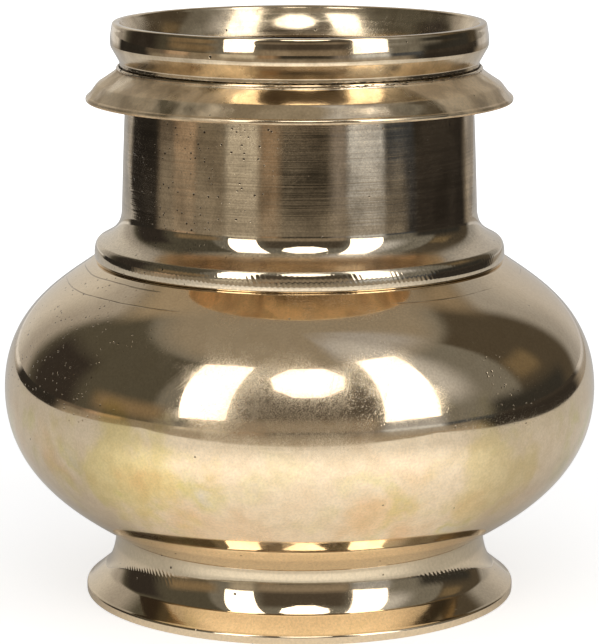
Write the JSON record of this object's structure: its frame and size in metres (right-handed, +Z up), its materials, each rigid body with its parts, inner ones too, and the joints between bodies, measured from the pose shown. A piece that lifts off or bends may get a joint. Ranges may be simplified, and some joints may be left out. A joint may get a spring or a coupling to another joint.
{
  "type": "lota water pot",
  "caption": "Squat round-bellied brass water pot with a stepped neck, a flared drip flange under a rolled rim, and a flared foot ring; holds and pours water.",
  "frame": {"origin": "middle of the foot ring's flat resting face, on the pot's axis", "axes": "+Z up along the pot's axis; -Y is the side that faces the viewer in the picture"},
  "size_m": [0.118, 0.118, 0.1146],
  "materials": {
    "belly_brass": "polished, with hairline scratches and faint heat stains",
    "neck_brass": "fine turned lines, polished over",
    "rim_brass": "polished, turned",
    "foot_brass": "polished, with tool chatter marks",
    "braze_filler": "rough and oxidised, left in the seams"
  },
  "bodies": {
    "root": {"foot_ring": "foot_brass", "lower_belly": "belly_brass", "upper_belly": "belly_brass", "neck": "neck_brass", "drip_flange": "rim_brass", "mouth_rim": "rim_brass", "rim_braze": "braze_filler", "flange_braze": "braze_filler", "shoulder_braze": "braze_filler", "belly_braze": "braze_filler", "foot_braze": "braze_filler"}
  },
  "joints": []
}
